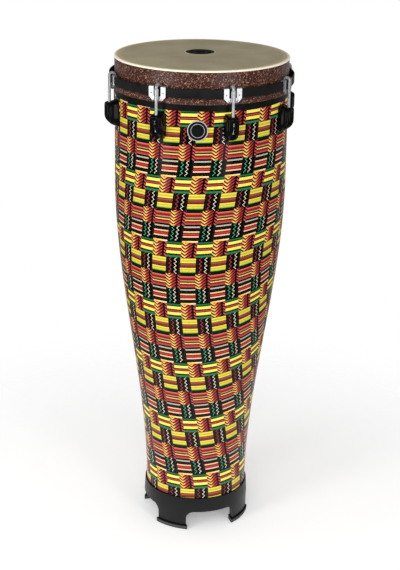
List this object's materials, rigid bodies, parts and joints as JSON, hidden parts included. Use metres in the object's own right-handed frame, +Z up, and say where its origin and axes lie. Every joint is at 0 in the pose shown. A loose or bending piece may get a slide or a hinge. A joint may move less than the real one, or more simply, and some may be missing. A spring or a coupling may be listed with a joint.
{
  "type": "timbau drum",
  "caption": "Tall tapered hand drum with one tan head, a black hoop, chrome tuning hooks in black lug casings, a bright woven-strip wrap and a footed black ring.",
  "frame": {"origin": "on the floor, at the centre of the foot ring", "axes": "+Z up along the drum's axis, -Y to the front where the badge is, +X to the right seen from the front"},
  "size_m": [0.3566, 0.3566, 0.953],
  "materials": {
    "shell_black": "satin black moulded composite shell",
    "printed_wrap": "woven-strip patterned covering under a satin coat",
    "playing_skin": "khaki tan synthetic drum skin with a pale rolled edge",
    "collar_brown": "reddish brown speckled head collar",
    "bright_steel": "zinc-plated steel, plain",
    "black_steel": "satin black powder-coated steel",
    "chrome": "bright chrome plate",
    "gloss_black": "glossy black moulded plastic",
    "ring_black": "satin charcoal moulded foot ring",
    "pad_rubber": "black rubber"
  },
  "bodies": {
    "drum": {"shell": "shell_black", "printed_wrap": "printed_wrap", "drum_head": "playing_skin", "head_collar": "collar_brown", "flesh_hoop": "bright_steel", "counterhoop": "black_steel", "badge_plate": "gloss_black", "badge_rim": "chrome", "foot_ring": "ring_black", "foot_pad_1": "pad_rubber", "foot_pad_2": "pad_rubber", "foot_pad_3": "pad_rubber", "foot_pad_4": "pad_rubber", "hoop_claw_1": "chrome", "lug_casing_1": "gloss_black", "lug_screw_1": "bright_steel", "hoop_claw_2": "chrome", "lug_casing_2": "gloss_black", "lug_screw_2": "bright_steel", "hoop_claw_3": "chrome", "lug_casing_3": "gloss_black", "lug_screw_3": "bright_steel", "hoop_claw_4": "chrome", "lug_casing_4": "gloss_black", "lug_screw_4": "bright_steel", "hoop_claw_5": "chrome", "lug_casing_5": "gloss_black", "lug_screw_5": "bright_steel", "hoop_claw_6": "chrome", "lug_casing_6": "gloss_black", "lug_screw_6": "bright_steel", "hoop_claw_7": "chrome", "lug_casing_7": "gloss_black", "lug_screw_7": "bright_steel", "hoop_claw_8": "chrome", "lug_casing_8": "gloss_black", "lug_screw_8": "bright_steel"},
    "hook_1": {"tuning_hook_1": "chrome"},
    "hook_2": {"tuning_hook_2": "chrome"},
    "hook_3": {"tuning_hook_3": "chrome"},
    "hook_4": {"tuning_hook_4": "chrome"},
    "hook_5": {"tuning_hook_5": "chrome"},
    "hook_6": {"tuning_hook_6": "chrome"},
    "hook_7": {"tuning_hook_7": "chrome"},
    "hook_8": {"tuning_hook_8": "chrome"},
    "nut_1": {"tuning_nut_1": "bright_steel"},
    "nut_2": {"tuning_nut_2": "bright_steel"},
    "nut_3": {"tuning_nut_3": "bright_steel"},
    "nut_4": {"tuning_nut_4": "bright_steel"},
    "nut_5": {"tuning_nut_5": "bright_steel"},
    "nut_6": {"tuning_nut_6": "bright_steel"},
    "nut_7": {"tuning_nut_7": "bright_steel"},
    "nut_8": {"tuning_nut_8": "bright_steel"}
  },
  "joints": [
    {"name": "nut_turn_1", "type": "hinge", "parent": "drum", "child": "nut_1", "pos_m": [0.06963, -0.1681, 0.857], "axis": [0, 0, -1], "range_deg": [0, 3960]},
    {"name": "hook_rise_1", "type": "slide", "parent": "drum", "child": "hook_1", "axis": [0, 0, 1], "range_m": [0, 0.01164]},
    {"name": "nut_turn_2", "type": "hinge", "parent": "drum", "child": "nut_2", "pos_m": [0.1681, -0.06963, 0.857], "axis": [0, 0, -1], "range_deg": [0, 3960]},
    {"name": "hook_rise_2", "type": "slide", "parent": "drum", "child": "hook_2", "axis": [0, 0, 1], "range_m": [0, 0.01164]},
    {"name": "nut_turn_3", "type": "hinge", "parent": "drum", "child": "nut_3", "pos_m": [0.1681, 0.06963, 0.857], "axis": [0, 0, -1], "range_deg": [0, 3960]},
    {"name": "hook_rise_3", "type": "slide", "parent": "drum", "child": "hook_3", "axis": [0, 0, 1], "range_m": [0, 0.01164]},
    {"name": "nut_turn_4", "type": "hinge", "parent": "drum", "child": "nut_4", "pos_m": [0.06963, 0.1681, 0.857], "axis": [0, 0, -1], "range_deg": [0, 3960]},
    {"name": "hook_rise_4", "type": "slide", "parent": "drum", "child": "hook_4", "axis": [0, 0, 1], "range_m": [0, 0.01164]},
    {"name": "nut_turn_5", "type": "hinge", "parent": "drum", "child": "nut_5", "pos_m": [-0.06963, 0.1681, 0.857], "axis": [0, 0, -1], "range_deg": [0, 3960]},
    {"name": "hook_rise_5", "type": "slide", "parent": "drum", "child": "hook_5", "axis": [0, 0, 1], "range_m": [0, 0.01164]},
    {"name": "nut_turn_6", "type": "hinge", "parent": "drum", "child": "nut_6", "pos_m": [-0.1681, 0.06963, 0.857], "axis": [0, 0, -1], "range_deg": [0, 3960]},
    {"name": "hook_rise_6", "type": "slide", "parent": "drum", "child": "hook_6", "axis": [0, 0, 1], "range_m": [0, 0.01164]},
    {"name": "nut_turn_7", "type": "hinge", "parent": "drum", "child": "nut_7", "pos_m": [-0.1681, -0.06963, 0.857], "axis": [0, 0, -1], "range_deg": [0, 3960]},
    {"name": "hook_rise_7", "type": "slide", "parent": "drum", "child": "hook_7", "axis": [0, 0, 1], "range_m": [0, 0.01164]},
    {"name": "nut_turn_8", "type": "hinge", "parent": "drum", "child": "nut_8", "pos_m": [-0.06963, -0.1681, 0.857], "axis": [0, 0, -1], "range_deg": [0, 3960]},
    {"name": "hook_rise_8", "type": "slide", "parent": "drum", "child": "hook_8", "axis": [0, 0, 1], "range_m": [0, 0.01164]}
  ],
  "couplings": [
    {"joint": "nut_turn_1", "follows": "hook_rise_1", "rad_per_m": 5938.7},
    {"joint": "nut_turn_2", "follows": "hook_rise_2", "rad_per_m": 5938.7},
    {"joint": "nut_turn_3", "follows": "hook_rise_3", "rad_per_m": 5938.7},
    {"joint": "nut_turn_4", "follows": "hook_rise_4", "rad_per_m": 5938.7},
    {"joint": "nut_turn_5", "follows": "hook_rise_5", "rad_per_m": 5938.7},
    {"joint": "nut_turn_6", "follows": "hook_rise_6", "rad_per_m": 5938.7},
    {"joint": "nut_turn_7", "follows": "hook_rise_7", "rad_per_m": 5938.7},
    {"joint": "nut_turn_8", "follows": "hook_rise_8", "rad_per_m": 5938.7}
  ]
}
